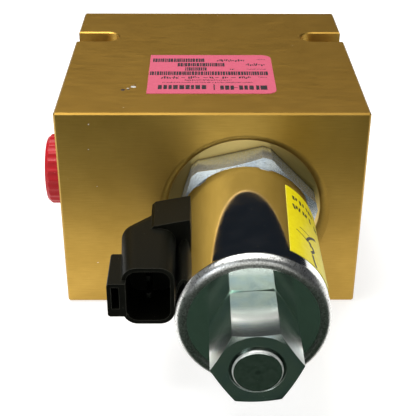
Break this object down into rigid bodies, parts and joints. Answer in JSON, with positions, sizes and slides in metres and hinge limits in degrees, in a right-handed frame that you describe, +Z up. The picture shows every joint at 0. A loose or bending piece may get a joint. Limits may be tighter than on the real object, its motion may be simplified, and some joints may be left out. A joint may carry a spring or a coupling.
{
  "type": "solenoid directional valve",
  "caption": "Solenoid cartridge valve in a gold manifold block: round plated coil with hex nut, side connector socket, bolt slots and a plugged port.",
  "frame": {"origin": "centre of the manifold block's base face", "axes": "+Z up through the block; the valve's coil points along -Y; the connector and the plugged port are on the -X side"},
  "size_m": [0.096, 0.1621, 0.0636],
  "materials": {
    "gold_anodised": "satin, gold anodised",
    "zinc_steel": "bright zinc plate",
    "bright_shell": "polished plated steel",
    "plain_steel": "ground",
    "spring_steel": "drawn wire",
    "black_plastic": "moulded, fine texture",
    "natural_nylon": "moulded",
    "ptfe": "skived",
    "red_plastic": "moulded, semi-gloss",
    "pink_label": "printed film",
    "yellow_label": "printed film",
    "copper": "enamelled wire",
    "tinned_brass": "tin plate",
    "shim_brass": "rolled",
    "rubber_seal": "moulded"
  },
  "bodies": {
    "valve_body": {"manifold_block": "gold_anodised", "cartridge_body": "zinc_steel", "cartridge_cage": "plain_steel", "cage_retaining_ring": "spring_steel", "guide_tube": "zinc_steel", "pole_piece": "zinc_steel", "tube_lock_ring": "plain_steel", "stroke_shim": "shim_brass", "return_spring": "spring_steel", "body_seal": "rubber_seal", "tube_seal": "rubber_seal", "coil_rear_seal": "rubber_seal", "upper_cage_seal": "rubber_seal", "lower_cage_seal": "rubber_seal", "backup_ring_1": "ptfe", "backup_ring_2": "ptfe", "backup_ring_3": "ptfe", "backup_ring_4": "ptfe", "rating_label": "pink_label"},
    "armature": {"armature": "plain_steel"},
    "spool": {"spool": "plain_steel", "spool_stem": "plain_steel"},
    "coil": {"coil_shell": "bright_shell", "coil_rear_plate": "zinc_steel", "coil_end_plate": "bright_shell", "coil_bobbin": "natural_nylon", "coil_winding": "copper", "coil_overmould": "black_plastic", "terminal_pin_1": "tinned_brass", "terminal_pin_2": "tinned_brass", "coil_label": "yellow_label"},
    "nut_carriage": {"nut_seal": "rubber_seal"},
    "nut": {"coil_nut": "zinc_steel"},
    "plug_carriage": {"plug_seal": "rubber_seal"},
    "plug": {"port_plug": "red_plastic"}
  },
  "joints": [
    {"name": "armature_stroke", "type": "slide", "parent": "valve_body", "child": "armature", "axis": [0, -1, 0], "range_m": [0, 0.003], "stiffness_N_per_m": 900, "springref_m": -0.005, "deforming": ["return_spring"]},
    {"name": "spool_stroke", "type": "slide", "parent": "valve_body", "child": "spool", "axis": [0, -1, 0], "range_m": [0, 0.003]},
    {"name": "coil_swivel", "type": "hinge", "parent": "valve_body", "child": "coil", "pos_m": [0.0096, -0.07, 0.0316], "axis": [0, -1, 0], "continuous": true},
    {"name": "nut_travel", "type": "slide", "parent": "valve_body", "child": "nut_carriage", "axis": [0, -1, 0], "range_m": [0, 0.0157]},
    {"name": "nut_turn", "type": "hinge", "parent": "nut_carriage", "child": "nut", "pos_m": [0.0096, -0.1074, 0.0316], "axis": [0, -1, 0], "range_deg": [0, 4500]},
    {"name": "plug_travel", "type": "slide", "parent": "valve_body", "child": "plug_carriage", "axis": [-1, 0, 0], "range_m": [0, 0.01115]},
    {"name": "plug_turn", "type": "hinge", "parent": "plug_carriage", "child": "plug", "pos_m": [-0.048, -0.01555, 0.0316], "axis": [-1, 0, 0], "range_deg": [0, 2520]}
  ],
  "couplings": [
    {"joint": "spool_stroke", "follows": "armature_stroke", "ratio": 1},
    {"joint": "nut_travel", "follows": "nut_turn", "m_per_rad": 0.00019894},
    {"joint": "plug_travel", "follows": "plug_turn", "m_per_rad": 0.00025266}
  ]
}
